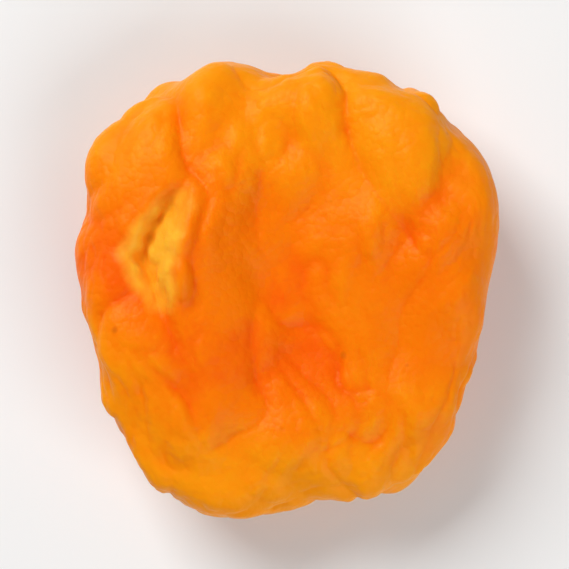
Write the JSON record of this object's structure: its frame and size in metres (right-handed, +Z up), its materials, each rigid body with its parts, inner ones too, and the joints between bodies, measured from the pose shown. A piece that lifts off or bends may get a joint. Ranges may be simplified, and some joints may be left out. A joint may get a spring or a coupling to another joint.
{
  "type": "dried apricot",
  "caption": "Whole pitted dried apricot: a plump, wrinkled oval disc, hollow in the middle, with an open stone slit on top and a small flat spot to rest on.",
  "frame": {"origin": "in the flat spot on the belly that the fruit rests on, under its weight", "axes": "+Z up, out of the face with the slit; +Y from the tip to the stem end, the long way; +X across, away from the slit"},
  "size_m": [0.033, 0.036, 0.0127],
  "materials": {
    "dried_flesh": "translucent orange dried fruit with a satin, slightly sticky sheen, yellower at the slit and redder in the folds"
  },
  "bodies": {
    "root": {"dried_apricot": "dried_flesh"}
  },
  "joints": []
}
